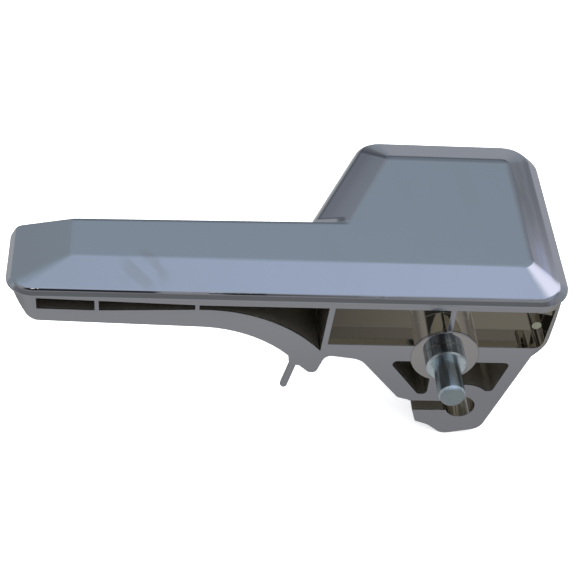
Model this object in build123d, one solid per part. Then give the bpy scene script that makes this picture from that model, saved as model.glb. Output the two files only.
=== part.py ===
from build123d import *
import os
from math import asin, cos, radians, sin, tan

# Lever of a car's inside door handle: one plated moulding on a turned pivot pin.
# Millimetres. The origin is on the pivot axis, at the outer face of the pin's shoulder.
# +X runs along the lever towards its head, +Y along the pivot into the lever,
# and +Z out of the plated face.

# Face, seen from above
grip_reach = 107.4        # pivot axis to the free end of the grip, at its near corner
tip_flare = 0.5           # how much further out the free end stands at its far corner
head_reach = 28.95        # pivot axis to the head's end edge, at its near corner
head_flare = 1.3          # how much further out the end edge stands at its far corner
near_rim = 3.3            # pin shoulder face to the near rim
head_width = 62.6         # near rim to the head's far rim
grip_width = 24.6         # near rim to the grip's upright back, where it meets the head
grip_taper = 1.4          # how much narrower the grip is at its free end
head_shoulder = 35.5      # pivot axis to the corner between grip and head
shoulder_lean = 25.0      # degrees that the head's inner edge leans from square
tip_corner = 7.0          # plan radius of the grip's near corner
tip_back_corner = 3.0     # plan radius of the grip's far corner
end_corner = 8.5          # plan radius of the head's near corner
far_corner = 8.3          # plan radius of the head's far corners
flat_corner = 3.0         # plan radius of the flat's near corner at the head's end
crisp_corner = 1.5        # plan radius of the flat's other corners

# Face, in height
rim_top = 19.6            # pivot axis to the rim's upper edge
rim_foot = 0.3            # height of the rim's upright foot
crown = 2.6               # rise from the rim's upper edge to the flat of the face
rim_lean = 1.7            # height of the rim above that foot, which leans in
brim_round = 1.2          # rounding of the rim's upper edge
rim_round = 0.5           # rounding between the rim's foot and its leaning part
ridge_round = 4.0         # soft ridge between the flat and its bevels
cove = 1.3                # hollow rounding where the grip's back meets the head's bevel
skin = 2.2                # wall of the face over the hollow head

# How far the rim leans in above its foot, measured in plan
near_lean_in = 0.4
far_lean_in = 0.5
end_lean_in = 2.6         # at the head's end edge
shoulder_lean_in = 0.7    # at the head's inner edge
tip_lean_in = 1.6         # at the free end of the grip

# Bevels round the flat of the face, measured in plan from the rim
near_bevel = 9.9
far_bevel = 9.6
end_bevel = 9.45          # at the head's end edge
shoulder_bevel = 9.95     # at the head's inner edge
tip_bevel = 15.4          # long slope at the free end of the grip

# Stiffening ribs under the hollow head
tray_rib = 1.2            # thickness
tray_rib_count = 3
tray_rib_pitch = 12.0
tray_rib_start = 4.0      # first rib's distance from the pivot axis, towards the grip
tray_corner = 1.0         # plan radius of the hollow's near corners

# Side of the grip
side_inset = 0.6          # the side stands this far inside the rim
end_inset = 1.15          # the same at the head's end
tip_inset = 0.8           # the same at the free end of the grip
body_corner = 6.5         # plan radius of the body's near corner at the head's end
back_corner = 1.0         # plan radius of the body's far corner at the head's end
tip_setback = 1.1         # foot of the rim to the top of the grip's leaning end
tip_slope = 29.5          # degrees that the grip's end leans in below the rim
belly_height = 9.5        # pivot axis to the grip's underside at the free end
belly_corner = 4.0        # rounding between the grip's end and its underside
arch_height = 8.0         # pivot axis to the grip's underside at the arch
arch_start = 61.5         # pivot axis to the start of the finger arch
arch_drop = 8.85          # fall of the grip's underside along that arch
arch_tail = 0.6           # straight that follows the arch

# Hump under the end of the arch
hump_outer = 38.7         # pivot axis to the hump's outer side
arch_step = 0.5           # the arch ends this far outside that
peg_land = 2.5            # flat on the hump that the peg stands on
peg_land_fall = 3.0       # end of the arch down to that flat
peg_land_corner = 0.9
hump_slope = 2.6          # flat to the hump's foot, along the lever
hump_foot = 1.8           # width of the foot
hump_fall = 2.5           # flat down to the foot
hump_foot_corner = 1.3
notch_run = 2.0           # foot to the notch beside the hump, along the lever
notch_drop = 0.6          # pivot axis down to the top of that notch
notch_corner = 2.2
brow_reach = 20.9         # pivot axis to where the bar turns down into the lug
brow_drop = 1.9
brow_corner = 5.0

# Eye and slot for the cable's end
eye_radius = 3.8
eye_offset = 7.0          # pivot axis to the eye's centre, towards the head's end
eye_drop = 18.6           # pivot axis down to the eye's centre
eye_collar = 4.4          # wall between the eye and the window above it
slot_width = 3.5
slot_rise = 0.3           # the slot lies this far above the eye's centre

# Lug round the eye, as steps along and down its outline from the slot's mouth
lug_depth = 16.0          # how far the lug runs in from the side
lip_reach = 6.6           # pivot axis to the end of the lip over the slot
lip_nose = 0.15           # that end stands this far above the slot
lip_corner = 1.5
throat_run = 3.3          # lip's end to the foot of the lug's slope
throat_rise = 1.0
throat_corner = 2.0
chin_run = 2.5            # lip's end to the end of the lip under the slot
chin_depth = 4.25         # slot down to that lip's corner
chin_corner = 1.0
jaw_run = 3.6             # that corner to the bend in the lug's underside
jaw_fall = 1.4
jaw_corner = 4.0
toe_run = 3.4             # eye back to the lug's lowest corner
toe_fall = 3.4            # bend down to that corner
toe_corner = 3.5
heel_run = 6.5            # eye out to the lug's outer low corner
heel_rise = 2.2
heel_corner = 4.0

# End of the head, below the rim
rump_setback = 1.9        # foot of the end wall, inside the wall's upper edge
rump_height = 3.6         # pivot axis to that foot
rump_corner = 3.5
hip_run = 3.85            # that foot to the top of the lug's outer edge
hip_fall = 3.2
hip_corner = 2.0

# Pockets cored in from the side
grip_back_wall = 4.0      # wall behind the pockets in the grip
head_pocket_depth = 6.6   # depth of the pockets in the head, which have their like in the back
middle_wall = 2.6         # wall between those in the side and those in the back
pocket_roof = 2.2         # rim's lower edge down to the pockets' upper edge
slot_lift = 1.2           # how much higher that edge is at the free end of the grip
slot_height = 3.3         # height of the slot at the free end of the grip
slot_dip = 0.2            # how much lower its floor is at the outer rib
slot_bend = 6.0           # rounding of that low point
tip_wall = 7.4            # free end of the grip to the end of the outer slot
arch_pocket_height = 1.4  # height of the arched pocket at its shallow end
arch_pocket_run = 2.05    # level floor before the arched pocket's curve
arch_pocket_drop = 12.7   # fall of its floor along that curve
rib = 1.0                 # thin ribs across the grip's slots
outer_rib = 85.85         # pivot axis to the middle of the outer rib
inner_rib = 62.05         # pivot axis to the middle of the inner rib
web = 1.45                # leaning web between the arched pocket and the head's pocket
web_top = 28.9            # pivot axis to that web's near face at the pockets' upper edge
web_foot = 29.7           # pivot axis to that web's near face at the pockets' floor
web_toe = 0.55            # the arched pocket's curve ends this far outside the web's foot
boss_rib = 1.35           # rib from the boss up to the face
bar_top = 3.2             # pivot axis to the floor of the head's pockets
bar_bottom = 2.2          # pivot axis down to the underside of that floor
end_wall = 2.3            # wall at the head's end, at the pockets' upper edge
end_wall_foot = 3.5       # the same at the pockets' floor
end_pocket_corner = 2.0   # rounding at the foot of that wall

# Windows in the lug, round the boss
window_floor = 3.0        # wall behind the windows
window_corner = 1.2
strut = 5.0               # strut between the two windows, under the boss
left_window_reach = 13.9  # pivot axis to the left window's outer corner
left_window_foot = 2.4    # width of its foot, beside the strut
left_window_drop = 14.0
right_window_reach = 17.3
right_window_lean = 3.0   # its outer corner to its low corner
right_window_drop = 12.6

# Small post in the head's outer pocket, and the peg under the arch
post_radius = 1.2
post_inset = 6.05         # end of the head to the post's centre
post_height = 9.7
post_setback = 1.5        # the post's face behind the side
peg_radius = 0.95
peg_inset = 1.0           # hump's outer side to the middle of the peg's root
peg_bury = 0.9            # length of the peg inside the hump
peg_length = 7.8
peg_lean = 13.0           # degrees that the peg leans from upright

# Pivot boss and pin
boss_radius = 8.6
boss_proud = 0.35         # how far the boss's face stands out of the side
boss_edge = 0.2           # chamfer round that face
back_boss_radius = 7.0
back_boss_proud = 2.1     # how far the boss stands out past the grip's back
shank_radius = 4.0        # pin inside the boss
shoulder_radius = 5.05    # pin between the boss's face and its shoulder face
shoulder_edge = 0.35      # chamfer at each end of that shoulder
journal_radius = 3.3
journal_length = 10.3
journal_chamfer = 1.0     # along the pin
journal_end = 2.85        # radius of the journal's end face


def rounded_outline(points, radii):
    """Closed flat outline with each corner rounded by its own radius."""
    return make_face(FilletPolyline(*points, radius=radii, close=True))


def inset_corners(points, distances):
    """Corners of an outline whose sides are moved inwards, each by its own distance."""
    sides = []
    for start, end, distance in zip(points, points[1:] + points[:1], distances):
        along = (Vector(*end) - Vector(*start)).normalized()
        inward = Vector(-along.Y, along.X)
        sides.append((Vector(*start) + inward * distance, along))
    corners = []
    for (first, along), (second, across) in zip(sides[-1:] + sides[:-1], sides):
        gap = second - first
        turn = along.X * across.Y - along.Y * across.X
        reach = (gap.X * across.Y - gap.Y * across.X) / turn
        corner = first + along * reach
        corners.append((corner.X, corner.Y))
    return corners


def level_edges(solid, height):
    """Edges that lie flat at one height."""
    def is_level(edge):
        box = edge.bounding_box()
        return abs(box.min.Z - height) < 0.001 and abs(box.max.Z - height) < 0.001
    return solid.edges().filter_by(is_level)


def faceted_cover(points, corners, leans, bevels, flat_corners):
    """Rim and bevelled crown over one outline, with soft rim and ridges."""
    rim = rounded_outline(points, corners)
    brim_corners = []
    for corner, before, after in zip(corners, leans[-1:] + leans[:-1], leans):
        brim_corners.append(corner - (before + after) / 2)
    brim = Plane.XY.offset(rim_top) * rounded_outline(inset_corners(points, leans), brim_corners)
    flat = Plane.XY.offset(flat_top) * rounded_outline(inset_corners(points, bevels), flat_corners)
    solid = extrude(Plane.XY.offset(rim_bottom) * rim, amount=lean_start - rim_bottom)
    solid += loft([Plane.XY.offset(lean_start) * rim, brim], ruled=True)
    solid += loft([brim, flat], ruled=True)
    solid = fillet(level_edges(solid, flat_top), ridge_round)
    solid = fillet(level_edges(solid, rim_top), brim_round)
    return fillet(level_edges(solid, lean_start), rim_round)


def from_side(outline, depth, start=0.0):
    """Solid of an X and Z outline, from the side plane into the body."""
    plane = Plane(origin=(0, side + start, 0), x_dir=(1, 0, 0), z_dir=(0, -1, 0))
    return extrude(plane * outline, amount=-depth)


def side_disc(x, z, radius):
    """Round X and Z outline."""
    return Pos(x, z) * Circle(radius)


def block(low_x, high_x, low_y, high_y, low_z, high_z):
    """Block between two corners."""
    size = (high_x - low_x, high_y - low_y, high_z - low_z)
    middle = ((low_x + high_x) / 2, (low_y + high_y) / 2, (low_z + high_z) / 2)
    return Pos(*middle) * Box(*size)


def arch_points(start, end, height, drop):
    """Corner to be rounded into an arch, the radius, and a point on the straight after it."""
    run = end - start
    radius = (run ** 2 + drop ** 2) / (2 * drop)
    turn = asin(run / radius)
    corner = (start + radius * tan(turn / 2), height, radius)
    foot = (end + arch_tail * cos(turn), height - drop - arch_tail * sin(turn))
    return corner, foot


def turned(profile):
    """Solid of a radius and Y outline turned about the pivot axis."""
    return revolve(make_face(Polyline(*profile, close=True)), Axis.Y)


shoulder_slope = tan(radians(shoulder_lean))
far_rim = near_rim + head_width
grip_back = near_rim + grip_width
tip_back = grip_back - grip_taper
back_slope = grip_taper / (grip_reach - head_shoulder)
flat_top = rim_top + crown
lean_start = rim_top - rim_lean
rim_bottom = lean_start - rim_foot
side = near_rim + side_inset
seat = side - boss_proud
end_reach = head_reach + head_flare
far_shoulder = -head_shoulder + (far_rim - grip_back) * shoulder_slope
wall_x = head_reach - end_inset
body_back = grip_back + head_reach * back_slope
back_boss_end = grip_back + back_boss_proud
pocket_top = rim_bottom - pocket_roof
window_depth = lug_depth - window_floor
grip_pocket_depth = grip_width - side_inset - grip_back_wall

# Cover of the head. Its facets run on under the grip.
head_points = [
    (-head_shoulder - grip_width * shoulder_slope, near_rim),
    (head_reach, near_rim),
    (end_reach, far_rim),
    (far_shoulder, far_rim),
]
head_cover = faceted_cover(
    head_points,
    (end_corner, end_corner, far_corner, far_corner),
    (near_lean_in, end_lean_in, far_lean_in, shoulder_lean_in),
    (near_bevel, end_bevel, far_bevel, shoulder_bevel),
    (flat_corner, flat_corner, crisp_corner, crisp_corner),
)

# Cover of the grip. Its facets run on under the head, and its back is cut upright.
tip_slant = tip_flare / grip_width
grip_over = grip_back + far_bevel + ridge_round
grip_points = [
    (-grip_reach, near_rim),
    (head_reach, near_rim),
    (head_reach, grip_over),
    (-grip_reach - (grip_over - near_rim) * tip_slant, grip_over),
]
grip_cover = faceted_cover(
    grip_points,
    (tip_corner, end_corner, end_corner, tip_corner),
    (near_lean_in, end_lean_in, far_lean_in, tip_lean_in),
    (near_bevel, end_bevel, far_bevel, tip_bevel),
    (crisp_corner, crisp_corner, crisp_corner, crisp_corner),
)
parting = -head_shoulder / 2
grip_room_points = [
    (-grip_reach + near_rim * tip_slant, 0),
    (parting, 0),
    (parting, grip_back + (parting + head_shoulder) * back_slope),
    (-grip_reach - tip_flare, tip_back),
]
grip_room = extrude(rounded_outline(grip_room_points, (0, 0, 0, tip_back_corner)), amount=flat_top)
cover = (grip_cover & grip_room) + (head_cover - grip_room)


def is_cove_edge(edge):
    """Edge where the grip's back wall rises from the head's inner bevel."""
    middle = edge @ 0.5
    on_wall = abs(middle.Y - grip_back - (middle.X + head_shoulder) * back_slope) < 0.01
    return on_wall and middle.X > -head_shoulder and rim_top < middle.Z < flat_top


cover = fillet(cover.edges().filter_by(is_cove_edge), cove)

# Hollow under the head's far side, with its stiffening ribs
tray_points = [
    (-head_shoulder, grip_back),
    (head_reach, grip_back),
    (head_reach, far_rim),
    (far_shoulder, far_rim),
]
tray_mouth_corners = (tray_corner, tray_corner, far_corner - skin, far_corner - skin)
tray_roof_corners = (tray_corner, tray_corner, crisp_corner, crisp_corner)
tray_mouth = rounded_outline(inset_corners(tray_points, (skin, skin, skin, skin)), tray_mouth_corners)
tray_roof_insets = (skin, end_bevel, far_bevel, shoulder_bevel)
tray_roof = rounded_outline(inset_corners(tray_points, tray_roof_insets), tray_roof_corners)
tray_levels = [Plane.XY.offset(rim_bottom) * tray_mouth, Plane.XY.offset(flat_top - skin) * tray_roof]
tray = loft(tray_levels, ruled=True)
for number in range(tray_rib_count):
    place = number * tray_rib_pitch - tray_rib_start
    tray -= block(place - tray_rib / 2, place + tray_rib / 2, grip_back, far_rim, rim_bottom, flat_top)
cover -= tray

# Body: the side outline, kept within an outline seen from above
body_top = lean_start
tip_lean = tan(radians(tip_slope))
tip_x = -grip_reach + tip_setback
arch_corner, arch_foot = arch_points(-arch_start, -hump_outer - arch_step, arch_height, arch_drop)
peg_land_z = arch_foot[1] - peg_land_fall
hump_toe_x = -hump_outer + peg_land + hump_slope
hump_heel_x = hump_toe_x + hump_foot
hump_z = peg_land_z - hump_fall
slot_middle = slot_rise - eye_drop
lip_z = slot_middle + slot_width / 2 + lip_nose
chin_x = -lip_reach + chin_run
chin_z = slot_middle - slot_width / 2 - chin_depth
jaw_z = chin_z - jaw_fall
toe_z = jaw_z - toe_fall
rump_x = wall_x - rump_setback
side_corners = [
    (tip_x - (body_top - rim_bottom) * tip_lean, body_top, 0),
    (tip_x + (rim_bottom - belly_height) * tip_lean, belly_height, belly_corner),
    arch_corner,
    (*arch_foot, peg_land_corner),
    (-hump_outer, peg_land_z, 0),
    (-hump_outer + peg_land, peg_land_z, peg_land_corner),
    (hump_toe_x, hump_z, hump_foot_corner),
    (hump_heel_x, hump_z, hump_foot_corner),
    (hump_heel_x + notch_run, -notch_drop, notch_corner),
    (-brow_reach, -brow_drop, brow_corner),
    (-lip_reach - throat_run, lip_z + throat_rise, throat_corner),
    (-lip_reach, lip_z, lip_corner),
    (chin_x, chin_z, chin_corner),
    (chin_x + jaw_run, jaw_z, jaw_corner),
    (eye_offset - toe_run, toe_z, toe_corner),
    (eye_offset + heel_run, toe_z + heel_rise, heel_corner),
    (rump_x - hip_run, rump_height - hip_fall, hip_corner),
    (rump_x, rump_height, rump_corner),
    (wall_x, body_top, 0),
]
side_points = [(x, z) for x, z, radius in side_corners]
side_radii = [radius for x, z, radius in side_corners]
body = from_side(rounded_outline(side_points, side_radii), grip_width)
body_points = [
    (-grip_reach + tip_inset, side),
    (wall_x, side),
    (wall_x, body_back),
    (-grip_reach + tip_inset, tip_back - side_inset),
]
body_corners = (tip_corner - side_inset, body_corner, back_corner, tip_back_corner)
body_plan = Plane.XY.offset(toe_z) * rounded_outline(body_points, body_corners)
body &= extrude(body_plan, amount=rim_top - toe_z)
body -= block(-grip_reach, end_reach, side + lug_depth, far_rim, toe_z, -bar_bottom)

# Boss that holds the pin, with its face a little proud of the side
body += turned([
    (0, seat),
    (boss_radius - boss_edge, seat),
    (boss_radius, seat + boss_edge),
    (boss_radius, side + window_depth),
    (0, side + window_depth),
])
body += turned([(0, side), (back_boss_radius, side), (back_boss_radius, back_boss_end), (0, back_boss_end)])

# Slots and arched pocket in the grip, parted by thin ribs
slot_end_x = -grip_reach + tip_wall
slot_top = pocket_top + slot_lift
slot_floor = slot_top - slot_height
inner_start = -inner_rib + arch_pocket_run
inner_end = -web_foot - web - web_toe
inner_height = pocket_top - arch_pocket_height
inner_corner, inner_foot = arch_points(inner_start, inner_end, inner_height, arch_pocket_drop)
grip_core_corners = [
    (slot_end_x, slot_top, 0),
    (slot_end_x, slot_floor, 0),
    (-outer_rib, slot_floor - slot_dip, slot_bend),
    (-inner_rib, inner_height, 0),
    inner_corner,
    (*inner_foot, 0),
    (-web_top - web, pocket_top, 0),
    (inner_start, pocket_top, 0),
]
grip_core_points = [(x, z) for x, z, radius in grip_core_corners]
grip_core_radii = [radius for x, z, radius in grip_core_corners]
grip_core = from_side(rounded_outline(grip_core_points, grip_core_radii), grip_pocket_depth)
for place in (-outer_rib, -inner_rib):
    grip_core -= block(place - rib / 2, place + rib / 2, side, far_rim, 0, slot_top)

# Pockets at each hand of the boss, in the side and in the back, parted by a rib
head_core_points = [
    (-web_top, pocket_top),
    (-web_foot, bar_top),
    (wall_x - end_wall_foot, bar_top),
    (wall_x - end_wall, pocket_top),
]
boss = from_side(side_disc(0, 0, boss_radius), head_width)
head_outline = rounded_outline(head_core_points, (0, 0, end_pocket_corner, 0))
head_core = from_side(head_outline, head_pocket_depth)
head_core += from_side(head_outline, grip_width, head_pocket_depth + middle_wall)
head_core -= boss
head_core -= block(-boss_rib / 2, boss_rib / 2, side, far_rim, 0, pocket_top)
# Post in the outer pocket in the side
post = side_disc(wall_x - post_inset, post_height, post_radius)
head_core -= from_side(post, head_pocket_depth, post_setback)

# Windows in the lug, cut round the boss and over the eye
left_window = [
    (-left_window_reach, -bar_bottom),
    (-strut / 2, -bar_bottom),
    (-strut / 2, -left_window_drop),
    (-strut / 2 - left_window_foot, -left_window_drop),
]
right_window = [
    (strut / 2, -bar_bottom),
    (right_window_reach, -bar_bottom),
    (right_window_reach - right_window_lean, -right_window_drop),
    (strut / 2, -right_window_drop),
]
left_radii = (window_corner, 0, window_corner, window_corner)
right_radii = (0, window_corner, window_corner, 0)
windows = from_side(rounded_outline(left_window, left_radii), window_depth)
windows += from_side(rounded_outline(right_window, right_radii), window_depth)
windows -= boss
windows -= from_side(side_disc(eye_offset, -eye_drop, eye_radius + eye_collar), window_depth)

# Eye for the cable's end, and the slot that leads to it
cable_way = from_side(side_disc(eye_offset, -eye_drop, eye_radius), lug_depth)
cable_way += block(-lip_reach - throat_run, eye_offset, side, side + lug_depth,
                   slot_middle - slot_width / 2, slot_middle + slot_width / 2)

# Peg under the arch, with a round tip
peg_start = Vector(-hump_outer + peg_inset, side + peg_radius, peg_land_z)
peg_way = Vector(-sin(radians(peg_lean)), 0, -cos(radians(peg_lean)))
peg_end = peg_start + peg_way * peg_length
peg_plane = Plane(origin=peg_start - peg_way * peg_bury, z_dir=peg_way)
peg = extrude(peg_plane * Circle(peg_radius), amount=peg_bury + peg_length)
peg += Pos(*peg_end) * Sphere(peg_radius)

# Bore for the pin
bore = turned([(0, seat), (shank_radius, seat), (shank_radius, back_boss_end), (0, back_boss_end)])
lever = cover + body - grip_core - head_core - windows - cable_way + peg - bore

# Pin, turned in one piece, with a journal at each end
far_end = back_boss_end + journal_length
pivot_pin = turned([
    (0, -journal_length),
    (journal_end, -journal_length),
    (journal_radius, -journal_length + journal_chamfer),
    (journal_radius, 0),
    (shoulder_radius - shoulder_edge, 0),
    (shoulder_radius, shoulder_edge),
    (shoulder_radius, seat - shoulder_edge),
    (shoulder_radius - shoulder_edge, seat),
    (shank_radius, seat),
    (shank_radius, back_boss_end),
    (journal_radius, back_boss_end),
    (journal_radius, far_end - journal_chamfer),
    (journal_end, far_end),
    (0, far_end),
])

os.makedirs("parts", exist_ok=True)
export_step(lever, "parts/lever.step")
export_step(pivot_pin, "parts/pivot_pin.step")
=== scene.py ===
import math

import bpy
from mathutils import Matrix, Quaternion, Vector

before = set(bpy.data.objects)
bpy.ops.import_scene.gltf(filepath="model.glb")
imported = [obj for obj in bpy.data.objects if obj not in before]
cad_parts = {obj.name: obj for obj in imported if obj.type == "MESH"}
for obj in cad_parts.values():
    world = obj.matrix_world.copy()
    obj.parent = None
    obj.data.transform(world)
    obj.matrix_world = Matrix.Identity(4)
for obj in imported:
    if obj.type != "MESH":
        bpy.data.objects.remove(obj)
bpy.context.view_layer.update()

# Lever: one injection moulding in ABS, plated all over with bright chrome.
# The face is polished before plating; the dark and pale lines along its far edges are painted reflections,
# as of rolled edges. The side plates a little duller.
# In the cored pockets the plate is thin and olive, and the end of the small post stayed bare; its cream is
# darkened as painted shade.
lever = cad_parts["lever"]
face_chrome = (0.55, 0.57, 0.60, 1.0)
smeared_chrome = (0.47, 0.47, 0.46, 1.0)
side_chrome = (0.49, 0.495, 0.52, 1.0)
boss_chrome = (0.54, 0.52, 0.50, 1.0)
thin_chrome = (0.557, 0.530, 0.470, 1.0)
flank_chrome = (0.88, 0.85, 0.78, 1.0)
# Bare cream plastic, darkened as painted shade of the pocket it sits in.
bare_plastic_in_painted_shade = (0.163, 0.17, 0.112, 1.0)
mask_edge = 0.0001


class NodeBench:
    """Node tree of a finish or of the studio, with short calls to add its nodes."""

    def __init__(self, tree):
        self.tree = tree
        tree.nodes.clear()

    def add(self, kind, inputs=None, **settings):
        """New node. Each input is a plain value or another node's socket."""
        node = self.tree.nodes.new("ShaderNode" + kind)
        for key, value in settings.items():
            setattr(node, key, value)
        for key, value in (inputs or {}).items():
            if isinstance(value, bpy.types.NodeSocket):
                self.tree.links.new(value, node.inputs[key])
            else:
                node.inputs[key].default_value = value
        return node

    def split(self, vector):
        """The three parts of a vector."""
        return tuple(self.add("SeparateXYZ", {"Vector": vector}).outputs)

    def maths(self, operation, first, second=0.0, third=0.0):
        """One sum on up to three numbers."""
        return self.add("Math", {0: first, 1: second, 2: third}, operation=operation).outputs["Value"]

    def scaled(self, number, share, base):
        """A share of the number, on top of the base."""
        return self.maths("MULTIPLY_ADD", number, share, base)

    def left_over(self, part):
        """What the part leaves of 1."""
        return self.maths("SUBTRACT", 1.0, part)

    def product(self, first, *others):
        """All the numbers multiplied together."""
        total = first
        for other in others:
            total = self.maths("MULTIPLY", total, other)
        return total

    def largest(self, first, *others):
        """The largest of the numbers."""
        top = first
        for other in others:
            top = self.maths("MAXIMUM", top, other)
        return top

    def vector(self, operation, first, second=(0.0, 0.0, 0.0)):
        """One vector from one or two vectors."""
        return self.add("VectorMath", {0: first, 1: second}, operation=operation).outputs["Vector"]

    def measure(self, operation, first, second=(0.0, 0.0, 0.0)):
        """One number from one or two vectors."""
        return self.add("VectorMath", {0: first, 1: second}, operation=operation).outputs["Value"]

    def step(self, value, low, high):
        """0 at low, 1 at high, eased between them."""
        node = self.add("MapRange", {"Value": value, "From Min": low, "From Max": high},
                        interpolation_type="SMOOTHSTEP")
        return node.outputs["Result"]

    def past(self, value, edge):
        """1 where the value is over the edge, 0 where it is under it."""
        return self.step(value, edge - mask_edge, edge + mask_edge)

    def short_of(self, value, edge):
        """1 where the value is under the edge, 0 where it is over it."""
        return self.step(value, edge + mask_edge, edge - mask_edge)

    def band(self, value, edges):
        """1 between the two middle edges, 0 past the outer two."""
        start, full_start, full_end, end = edges
        return self.product(self.step(value, start, full_start), self.step(value, end, full_end))

    def mixed(self, factor, first, second):
        """Colour between two colours."""
        return self.add("Mix", {"Factor": factor, 6: first, 7: second}, data_type="RGBA").outputs[2]

    def noise(self, at, scale, detail, roughness=0.5):
        """Soft random pattern, from 0 to 1."""
        node = self.add("TexNoise", {"Vector": at, "Scale": scale, "Detail": detail, "Roughness": roughness})
        return node.outputs["Fac"]

    def stretched(self, at, stretch, turn=0.0, way="POINT"):
        """Places turned about the upright axis and stretched."""
        node = self.add("Mapping", {"Vector": at, "Rotation": (0.0, 0.0, turn), "Scale": stretch},
                        vector_type=way)
        return node.outputs["Vector"]


class Finish(NodeBench):
    """Material with one shader."""

    def __init__(self, name):
        self.material = bpy.data.materials.new(name)
        self.material.use_nodes = True
        super().__init__(self.material.node_tree)
        self.shader = self.add("BsdfPrincipled")
        self.add("OutputMaterial", {"Surface": self.shader.outputs["BSDF"]})

    def set(self, name, value):
        self.shader.inputs[name].default_value = value

    def join(self, socket, name):
        self.tree.links.new(socket, self.shader.inputs[name])


across_pivot = (1.0, 0.0, 1.0)


def from_axis(finish, at):
    """Distance from the pivot's axis."""
    return finish.measure("LENGTH", finish.vector("MULTIPLY", at, across_pivot))


hollow_start = 0.0042
body_back = 0.0275
pocket_roof = 0.0171
slot_end = -0.1009
slot_back = 0.0243
slot_floor = 0.0110
arch_start = -0.0615
arch_fall = 0.33
web_middle = -0.0299
bar_top = 0.0029
middle_wall = 0.0118
end_wall = 0.02465
end_wall_lean = 0.12
window_low = -0.0152
lug_back = 0.0196
lug_left = -0.0241
lug_left_lean = 1.27
lug_right = 0.0199
lug_right_lean = 0.3
eye_centre = (0.0070, 0.0, -0.0186)
eye_wall = 0.0043
cable_slot_start = -0.0092
cable_slot_low = -0.0204
cable_slot_high = -0.0162


def cored_hollows(plate, at):
    """Masks of the deep cores, where the plate is dull, and of the shallow ones, where it is bright."""
    x, y, z = plate.split(at)
    past_arch = plate.maths("MAXIMUM", plate.maths("SUBTRACT", x, arch_start), 0.0)
    grip_cores = plate.product(plate.past(x, slot_end), plate.short_of(x, web_middle),
                               plate.short_of(y, slot_back),
                               plate.past(plate.scaled(past_arch, arch_fall, z), slot_floor))
    head_cores = plate.product(plate.past(x, web_middle), plate.past(z, bar_top),
                               plate.short_of(plate.scaled(z, -end_wall_lean, x), end_wall))
    windows = plate.product(plate.past(z, window_low), plate.short_of(z, bar_top),
                            plate.short_of(y, lug_back),
                            plate.past(plate.scaled(x, lug_left_lean, z), lug_left),
                            plate.short_of(plate.scaled(z, -lug_right_lean, x), lug_right))
    from_eye = plate.measure("DISTANCE", plate.vector("MULTIPLY", at, across_pivot), eye_centre)
    eye = plate.short_of(from_eye, eye_wall)
    cable_slot = plate.product(plate.past(x, cable_slot_start), plate.short_of(x, eye_centre[0]),
                               plate.past(z, cable_slot_low), plate.short_of(z, cable_slot_high),
                               plate.left_over(eye))
    back_pockets = plate.product(head_cores, plate.past(y, middle_wall))
    side_pockets = plate.maths("SUBTRACT", head_cores, back_pockets)
    inside = plate.product(plate.past(y, hollow_start), plate.short_of(y, body_back),
                           plate.short_of(z, pocket_roof))
    deep = plate.product(inside, plate.largest(grip_cores, windows, cable_slot, back_pockets))
    shallow = plate.product(inside, plate.largest(side_pockets, eye))
    return deep, shallow


# Painted reflections along the edges: dark and pale lines painted into the plate's colour.
painted_dark_reflection = (0.31, 0.325, 0.345, 1.0)
painted_pale_reflection = (0.84, 0.83, 0.79, 1.0)
painted_ridge_reflection = (0.58, 0.60, 0.63, 1.0)
painted_inner_dusk = (0.465, 0.475, 0.505, 1.0)
back_edge = 0.02859
back_slope = 0.0194
back_dark = (-0.0011, -0.0004)
back_stop = (-0.0235, -0.0262)
far_ridge = 0.05575
far_dark = (-0.0016, -0.0004, 0.0005, 0.0012)
far_strength = 0.8
far_facing = (0.20, 0.12)
inner_facing = (-0.12, -0.20)
inner_start = 0.0285
inner_way = (-0.9063, 0.4226, 0.0)
inner_edge = 0.0427
ridge_fade = (-0.0056, -0.0082)
inner_fade = (-0.0060, -0.0020)
inner_dark = (-0.0011, -0.0006)
inner_pale = (-0.0004, 0.0)
foot_edge = 0.0235
foot_slope = 0.2
foot_dark = (0.0027, 0.0022)
foot_dark_stop = (-0.0246, -0.0258)
foot_pale = (0.0021, 0.0016)
foot_pale_stop = (-0.0264, -0.0278)
corner_way = (0.668, 0.745, 0.0)
corner_edge = 0.03362
corner_dark = (-0.0012, -0.0004)


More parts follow.
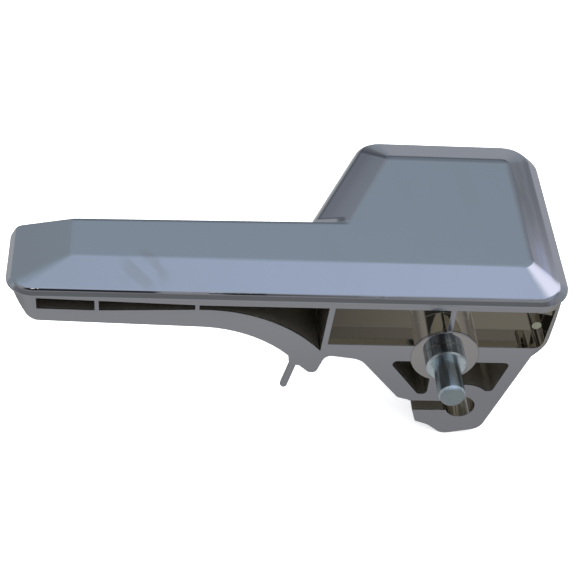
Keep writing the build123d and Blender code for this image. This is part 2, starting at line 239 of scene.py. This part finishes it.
def painted_edge_reflections(plate, at, facing_x, colour):
    """Painted reflections: dark and pale lines along the grip's back edge and the head's edges and ridges,
    which are plain in the solid.
    """
    x, y, z = plate.split(at)
    inner_side = plate.step(facing_x, *inner_facing)
    off_inner = plate.left_over(inner_side)
    on_inner = plate.product(inner_side, plate.past(y, inner_start))
    to_back = plate.maths("SUBTRACT", plate.scaled(x, -back_slope, y), back_edge)
    to_far = plate.maths("SUBTRACT", y, far_ridge)
    to_inner = plate.maths("SUBTRACT", plate.measure("DOT_PRODUCT", at, inner_way), inner_edge)
    to_corner = plate.maths("SUBTRACT", plate.measure("DOT_PRODUCT", at, corner_way), corner_edge)
    from_foot = plate.maths("SUBTRACT", plate.scaled(x, foot_slope, y), foot_edge)

    back_painted_line = plate.product(plate.step(to_back, *back_dark), plate.step(x, *back_stop), off_inner)
    colour = plate.mixed(back_painted_line, colour, painted_dark_reflection)
    far_painted_line = plate.product(plate.band(to_far, far_dark), off_inner, plate.step(facing_x, *far_facing),
                             far_strength)
    colour = plate.mixed(far_painted_line, colour, painted_dark_reflection)
    ridge = plate.product(on_inner, plate.step(to_inner, *ridge_fade))
    colour = plate.mixed(ridge, colour, painted_ridge_reflection)
    dusk = plate.product(on_inner, plate.step(to_inner, *inner_fade))
    colour = plate.mixed(dusk, colour, painted_inner_dusk)
    painted_dark_foot = plate.product(plate.step(x, *foot_dark_stop), plate.step(from_foot, *foot_dark))
    dark = plate.largest(plate.step(to_inner, *inner_dark), painted_dark_foot, plate.step(to_corner, *corner_dark))
    colour = plate.mixed(plate.product(on_inner, dark), colour, painted_dark_reflection)
    painted_pale_foot = plate.product(plate.step(x, *foot_pale_stop), plate.step(from_foot, *foot_pale))
    pale = plate.largest(plate.step(to_inner, *inner_pale), painted_pale_foot)
    return plate.mixed(plate.product(on_inner, pale), colour, painted_pale_reflection)


# End bevel: streaks, a painted highlight at the near end and a painted dark reflection line beside the outer
# ridge.
end_streak_and_painted_shade = (0.43, 0.445, 0.47, 1.0)
end_painted_highlight = (0.59, 0.63, 0.75, 1.0)
end_facing = (0.28, 0.32, 0.42, 0.46)
end_way = (1.0, -0.0206, 0.0)
end_edge = 0.02617
end_painted_dark_line = (-0.0022, -0.0012, -0.0004, 0.0002)
end_painted_dark_line_strength = 0.75
end_painted_highlight_across = (-0.0052, -0.0038, -0.0028, -0.0016)
end_painted_highlight_along = (0.0270, 0.0190)
end_streak_stretch = (1.0, 0.10, 0.3)
end_streak_scale = 620.0
end_streak_range = (0.44, 0.62)
end_streak_strength = 0.45


def end_streaks_and_painted_reflections(plate, at, facing_x, colour):
    """Streaks on the bevel at the head's end, with a painted dark reflection line beside its outer ridge and
    a painted highlight at the near end.
    """
    x, y, z = plate.split(at)
    on_end = plate.band(facing_x, end_facing)
    to_end = plate.maths("SUBTRACT", plate.measure("DOT_PRODUCT", at, end_way), end_edge)
    glow = plate.product(on_end, plate.step(y, *end_painted_highlight_along), plate.band(to_end, end_painted_highlight_across))
    colour = plate.mixed(glow, colour, end_painted_highlight)
    streaks = plate.noise(plate.stretched(at, end_streak_stretch), end_streak_scale, detail=2.0)
    streaked = plate.product(plate.step(streaks, *end_streak_range), end_streak_strength)
    line = plate.product(plate.band(to_end, end_painted_dark_line), end_painted_dark_line_strength)
    return plate.mixed(plate.product(on_end, plate.largest(streaked, line)), colour, end_streak_and_painted_shade)


wipe_turn = 0.9
wipe_stretch = (1.0, 0.35, 1.0)
wipe_scale = 85.0
wipe_range = (0.50, 0.74)
wipe_strength = 0.12
smudge_centre = (-0.0745, 0.0100, 0.0213)
smudge_reach = (0.0080, 0.0030)
smudge_strength = 0.65
stroke_turn = 0.785
stroke_stretch = (1.0, 7.0, 1.0)
stroke_scale = 380.0
stroke_range = (0.42, 0.60)


def wiped_face(plate, at):
    """Mask of the faint wipe marks on the face, and of one finger smudge in slanting strokes."""
    wipe_way = plate.stretched(at, wipe_stretch, wipe_turn)
    wipes = plate.noise(wipe_way, wipe_scale, detail=5.0, roughness=0.6)
    wiped = plate.product(plate.step(wipes, *wipe_range), wipe_strength)
    stroke_way = plate.stretched(at, stroke_stretch, stroke_turn, "TEXTURE")
    strokes = plate.noise(stroke_way, stroke_scale, detail=3.0)
    from_smudge = plate.measure("DISTANCE", at, smudge_centre)
    smudge = plate.product(plate.step(from_smudge, *smudge_reach), plate.step(strokes, *stroke_range),
                           smudge_strength)
    return plate.largest(wiped, smudge)


rim_height = 0.0176
rim_fade = 0.0003
outward_facing = (-0.4, -0.2)
side_limit = (0.0043, 0.0041)
boss_limit = (0.0086, 0.0084)
boss_face_limit = (0.00385, 0.00365)
flank_limit = (0.0088, 0.0087)
flank_facing = (0.6, 0.4)
post_centre = (0.02175, 0.0054, 0.0097)
post_limit = (0.00127, 0.00118)
post_end_facing = (-0.8, -0.95)
floor_facing = (0.90, 0.97)
floor_draft = (0.0, -0.035, 0.0)
bright_roughness = 0.05
smear_roughness = 0.05
side_roughness = 0.05
deep_roughness = 0.25
bare_roughness = 0.35
deep_dullness = 0.07
peel_scale = 160.0
grain_scale = 1800.0
grain_strength = 0.12
relief_depth = 0.000012
edge_round = 0.0002


def chrome_plate():
    """Bright plate on the face and side, thin plate in the hollows, bare plastic on the post's end, darkened
    as painted shade.
    """
    plate = Finish("chrome_plate")
    place = plate.add("TexCoord")
    at = place.outputs["Object"]
    x, y, z = plate.split(at)
    facing_x, facing_y, facing_z = plate.split(place.outputs["Normal"])
    from_pivot = from_axis(plate, at)
    smeared = wiped_face(plate, at)
    deep, shallow = cored_hollows(plate, at)
    hollow = plate.largest(deep, shallow)
    on_face = plate.product(plate.step(z, rim_height - rim_fade, rim_height),
                            plate.step(facing_z, *outward_facing))
    below_face = plate.left_over(on_face)
    on_boss = plate.product(plate.step(from_pivot, *boss_limit), plate.step(y, *boss_face_limit))
    on_side = plate.product(plate.maths("SUBTRACT", plate.step(y, *side_limit), on_boss), below_face)
    on_flank = plate.product(shallow, plate.step(plate.maths("ABSOLUTE", facing_y), *flank_facing),
                             plate.step(from_pivot, *flank_limit))
    near_post = plate.step(plate.measure("DISTANCE", at, post_centre), *post_limit)
    bare = plate.product(near_post, plate.step(facing_y, *post_end_facing))

    colour = plate.mixed(smeared, face_chrome, smeared_chrome)
    # Painted reflections: dark and pale lines along the edges and ridges.
    colour = painted_edge_reflections(plate, at, facing_x, colour)
    # Streaks on the end bevel, with its painted highlight and painted dark reflection line.
    colour = end_streaks_and_painted_reflections(plate, at, facing_x, colour)
    colour = plate.mixed(below_face, colour, side_chrome)
    colour = plate.mixed(on_boss, colour, boss_chrome)
    colour = plate.mixed(hollow, colour, thin_chrome)
    colour = plate.mixed(on_flank, colour, flank_chrome)
    # The post's end: bare cream plastic, darkened as painted shade.
    plate.join(plate.mixed(bare, colour, bare_plastic_in_painted_shade), "Base Color")

    metal = plate.scaled(deep, -deep_dullness, 1.0)
    plate.join(plate.product(metal, plate.left_over(bare)), "Metallic")
    rough = plate.scaled(smeared, smear_roughness, bright_roughness)
    rough = plate.scaled(on_side, side_roughness, rough)
    rough = plate.scaled(deep, deep_roughness, rough)
    plate.join(plate.scaled(bare, bare_roughness, rough), "Roughness")

    peel = plate.product(plate.noise(at, peel_scale, detail=2.0), plate.left_over(hollow))
    grain = plate.product(plate.noise(at, grain_scale, detail=2.0), on_side, grain_strength)
    soft_edge = plate.add("Bevel", {"Radius": edge_round}, samples=6)
    relief = plate.add("Bump", {"Strength": 1.0, "Distance": relief_depth,
                                "Height": plate.maths("ADD", peel, grain),
                                "Normal": soft_edge.outputs["Normal"]})
    on_floor = plate.product(shallow, plate.step(facing_z, *floor_facing))
    draft = plate.add("VectorMath", {0: floor_draft, "Scale": on_floor}, operation="SCALE")
    tipped = plate.vector("ADD", relief.outputs["Normal"], draft.outputs["Vector"])
    plate.join(plate.vector("NORMALIZE", tipped), "Normal")
    return plate.material


lever.data.materials.clear()
lever.data.materials.append(chrome_plate())

# Pivot pin: steel bar turned to a shouldered journal and plated with clear zinc.
# It is pressed through the lever's boss, and both ends turn in the bezel.
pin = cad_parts["pivot_pin"]
zinc_pale = (0.78, 0.88, 0.90, 1.0)
zinc_end = (0.41, 0.475, 0.49, 1.0)
zinc_round = (0.61, 0.71, 0.76, 1.0)
zinc_dark = (0.16, 0.18, 0.20, 1.0)
zinc_mottle = (0.34, 0.40, 0.42, 1.0)
pin_end_facing = (0.30, 0.42)
journal_limit = (0.00285, 0.00315)
zinc_streak_stretch = (1.0, 0.06, 1.0)
zinc_streak_scale = 480.0
zinc_streak_range = (0.47, 0.54)
zinc_streak_strength = 0.85
mottle_scale = 700.0
mottle_range = (0.48, 0.70)
mottle_strength = 0.45
mottle_relief = 0.5
zinc_roughness = 0.285
mottle_roughness = 0.08
turning_scale = 900.0
turning_depth = 0.000002


def zinc_plate():
    """Streaked zinc on the round faces and mottled zinc on the ends, over fine turning marks."""
    zinc = Finish("zinc_plate")
    zinc.set("Metallic", 1.0)
    place = zinc.add("TexCoord")
    at = place.outputs["Object"]
    facing_x, facing_y, facing_z = zinc.split(place.outputs["Normal"])
    on_end = zinc.step(zinc.maths("ABSOLUTE", facing_y), *pin_end_facing)
    streaks = zinc.noise(zinc.stretched(at, zinc_streak_stretch), zinc_streak_scale, detail=2.0)
    streaked = zinc.product(zinc.step(streaks, *zinc_streak_range), zinc_streak_strength)
    mottles = zinc.noise(at, mottle_scale, detail=4.0, roughness=0.65)
    mottled = zinc.step(mottles, *mottle_range)

    round_colour = zinc.mixed(streaked, zinc_round, zinc_dark)
    end_colour = zinc.mixed(zinc.step(from_axis(zinc, at), *journal_limit), zinc_end, zinc_pale)
    end_colour = zinc.mixed(zinc.product(mottled, mottle_strength), end_colour, zinc_mottle)
    zinc.join(zinc.mixed(on_end, round_colour, end_colour), "Base Color")
    zinc.join(zinc.scaled(mottled, mottle_roughness, zinc_roughness), "Roughness")

    turning = zinc.add("TexWave", {"Vector": at, "Scale": turning_scale, "Distortion": 1.5, "Detail": 2.0},
                       wave_type="BANDS", bands_direction="Y")
    height = zinc.scaled(mottles, mottle_relief, turning.outputs["Fac"])
    relief = zinc.add("Bump", {"Strength": 1.0, "Distance": turning_depth, "Height": height})
    zinc.join(relief.outputs["Normal"], "Normal")
    return zinc.material


pin.data.materials.clear()
pin.data.materials.append(zinc_plate())

# Floor of the studio: pale seamless paper under the lever. The plating sees the same floor
# in the lever's own shade, darker under it and towards the front.
floor_height = -0.0290
floor_half = 3.0
floor_gap = 0.0002
paper_tone = (0.93, 0.93, 0.93, 1.0)
paper_roughness = 0.9
paper_glow = 0.6
white = (1.0, 1.0, 1.0, 1.0)
black = (0.0, 0.0, 0.0, 1.0)
shade_reach = 0.40
shade_tint = (0.985, 1.0, 1.03)
floor_shades = (
    (-0.40, 0.18),
    (-0.15, 0.19),
    (-0.075, 0.33),
    (-0.035, 0.43),
    (-0.008, 0.36),
    (0.03, 0.30),
    (0.10, 0.47),
    (0.40, 0.50),
)


def fill_ramp(ramp, stops):
    """Colour stops of a ramp, as pairs of position and colour."""
    ramp.interpolation = "EASE"
    ends = ((ramp.elements[0], stops[0]), (ramp.elements[1], stops[-1]))
    for element, (position, colour) in ends:
        element.position = position
        element.color = (*colour, 1.0)
    for position, colour in stops[1:-1]:
        ramp.elements.new(position).color = (*colour, 1.0)


def pale_paper():
    """White paper, a little bright of itself so that its far part stays white."""
    paper = Finish("pale_paper")
    paper.set("Base Color", paper_tone)
    paper.set("Roughness", paper_roughness)
    paper.set("Emission Color", white)
    paper.set("Emission Strength", paper_glow)
    return paper.material


def shaded_paper():
    """The paper as the plating sees it, with a grey for each depth from front to back."""
    paper = Finish("shaded_paper")
    paper.set("Base Color", black)
    paper.set("Specular IOR Level", 0.0)
    paper.set("Emission Strength", 1.0)
    x, y, z = paper.split(paper.add("TexCoord").outputs["Object"])
    along = paper.add("MapRange", {"Value": y, "From Min": -shade_reach, "From Max": shade_reach})
    shade = paper.add("ValToRGB", {"Fac": along.outputs["Result"]})
    stops = []
    for depth, grey in floor_shades:
        position = (depth + shade_reach) / (2 * shade_reach)
        stops.append((position, [grey * tint for tint in shade_tint]))
    fill_ramp(shade.color_ramp, stops)
    paper.join(shade.outputs["Color"], "Emission Color")
    return paper.material


def floor_sheet(name, height, finish):
    """Wide flat sheet of paper."""
    half = floor_half
    corners = [(-half, -half, height), (half, -half, height), (half, half, height), (-half, half, height)]
    sheet = bpy.data.meshes.new(name)
    sheet.from_pydata(corners, [], [(0, 1, 2, 3)])
    sheet.materials.append(finish)
    piece = bpy.data.objects.new(name, sheet)
    bpy.context.scene.collection.objects.link(piece)
    return piece


floor = floor_sheet("floor", floor_height, pale_paper())
floor.visible_glossy = False
shaded_floor = floor_sheet("shaded_floor", floor_height - floor_gap, shaded_paper())
shaded_floor.visible_camera = False
shaded_floor.visible_diffuse = False
shaded_floor.visible_shadow = False

# Studio round the lever: a soft tent, brighter overhead and darker on the camera's side,
# with a dim band low behind, a tall soft window at the right and a small lamp at the left.
# Heights over the horizon and turns round the lever are in degrees.
world = bpy.data.worlds.new("studio")
bpy.context.scene.world = world
world.use_nodes = True
behind_tones = (
    (0, (0.46, 0.465, 0.51)),
    (11, (0.33, 0.36, 0.40)),
    (17, (0.275, 0.285, 0.315)),
    (21, (0.19, 0.21, 0.25)),
    (25, (0.285, 0.305, 0.35)),
    (37, (0.36, 0.42, 0.49)),
    (48, (0.385, 0.46, 0.54)),
    (70, (0.55, 0.64, 0.82)),
    (90, (0.57, 0.64, 0.80)),
)
before_tones = (
    (0, (0.20, 0.20, 0.22)),
    (12, (0.31, 0.31, 0.33)),
    (22, (0.33, 0.33, 0.35)),
    (38, (0.43, 0.43, 0.44)),
    (47, (0.285, 0.285, 0.295)),
    (60, (0.33, 0.345, 0.38)),
    (80, (0.50, 0.56, 0.70)),
    (90, (0.57, 0.64, 0.80)),
)
before_to_behind = (-0.25, 0.05)
front_shade = (0.03, 0.03, 0.032, 1.0)
front_shade_turn = (-150, -138, -91, -71)
front_shade_rise = (19, 25, 63, 77)
left_tent = (0.50, 0.58, 0.72, 1.0)
left_reach = (0.09, -0.10)
right_tent = (0.60, 0.68, 0.87, 1.0)
right_reach = (0.07, 0.25)
overhead_rise = (52, 66)
overhead_depth = (0.0, 0.2)
low_left_tent = (0.32, 0.365, 0.41, 1.0)
low_left_rise = (52, 44)
low_left_reach = (-0.22, -0.34)
low_left_depth = (0.0, 0.3)
window_glow = (1.31, 1.30, 1.52, 1.0)
window_turn = (20, 30, 42, 52)
window_rise = (6, 24, 48, 62)
lamp_glow = (2.0, 2.0, 2.0, 1.0)
lamp_way = Vector((-0.225, -0.40, 0.889)).normalized()
lamp_spread = (6, 3)

sky = NodeBench(world.node_tree)
way = sky.add("TexCoord").outputs["Generated"]
way_x, way_y, way_z = sky.split(way)
turn = sky.maths("ARCTAN2", way_y, way_x)
rise = sky.maths("ARCSINE", way_z)


def in_radians(angles):
    return [math.radians(angle) for angle in angles]


def by_height(tones):
    """Colours by height over the horizon."""
    node = sky.add("ValToRGB", {"Fac": way_z})
    fill_ramp(node.color_ramp, [(math.sin(math.radians(angle)), colour) for angle, colour in tones])
    return node.outputs["Color"]


front_patch = sky.product(sky.band(turn, in_radians(front_shade_turn)),
                          sky.band(rise, in_radians(front_shade_rise)))
before = sky.mixed(front_patch, by_height(before_tones), front_shade)
tent = sky.mixed(sky.step(way_y, *before_to_behind), before, by_height(behind_tones))
overhead = sky.product(sky.step(rise, *in_radians(overhead_rise)), sky.step(way_y, *overhead_depth))
tent = sky.mixed(sky.product(overhead, sky.step(way_x, *left_reach)), tent, left_tent)
tent = sky.mixed(sky.product(overhead, sky.step(way_x, *right_reach)), tent, right_tent)
low_left = sky.product(sky.step(rise, *in_radians(low_left_rise)), sky.step(way_x, *low_left_reach),
                       sky.step(way_y, *low_left_depth))
tent = sky.mixed(low_left, tent, low_left_tent)
window = sky.product(sky.band(turn, in_radians(window_turn)), sky.band(rise, in_radians(window_rise)))
tent = sky.mixed(window, tent, window_glow)
towards_lamp = sky.measure("DOT_PRODUCT", way, lamp_way)
on_lamp = sky.step(towards_lamp, *[math.cos(angle) for angle in in_radians(lamp_spread)])
tent = sky.mixed(on_lamp, tent, lamp_glow)
sky.add("OutputWorld", {"Surface": sky.add("Background", {"Color": tent}).outputs["Background"]})

# Overhead light: a wide round soft lamp high over the lever.
# It lights the floor and the dull finishes, and isn't mirrored in the plating.
overhead_place = Vector((-0.04, 0.1, 1.5))
overhead_aim = Vector((-0.04, 0.02, 0.0))
overhead_lamp = bpy.data.lights.new("overhead_light", "AREA")
overhead_lamp.shape = "DISK"
overhead_lamp.size = 4.0
overhead_lamp.energy = 80.0
overhead_light = bpy.data.objects.new("overhead_light", overhead_lamp)
overhead_light.location = overhead_place
overhead_light.rotation_euler = (overhead_aim - overhead_place).to_track_quat("-Z", "Y").to_euler()
overhead_light.visible_glossy = False
bpy.context.scene.collection.objects.link(overhead_light)

# Camera at the photograph's own angle: in front of the lever and above it,
# looking down on the face and the open side, and rolled a little.
camera_place = Vector((-0.069156, -0.228635, 0.235438))
camera_aim = Vector((-0.03806, 0.02756, 0.0))
camera_roll = Quaternion((0.0, 0.0, 1.0), math.radians(6.02))
camera_lens = bpy.data.cameras.new("camera")
camera_lens.sensor_width = 36.0
camera_lens.lens = 83.97
camera = bpy.data.objects.new("camera", camera_lens)
camera_turn = (camera_aim - camera_place).to_track_quat("-Z", "Y") @ camera_roll
camera.matrix_world = Matrix.Translation(camera_place) @ camera_turn.to_matrix().to_4x4()
bpy.context.scene.collection.objects.link(camera)
bpy.context.scene.camera = camera
bpy.context.scene.view_settings.view_transform = "Standard"
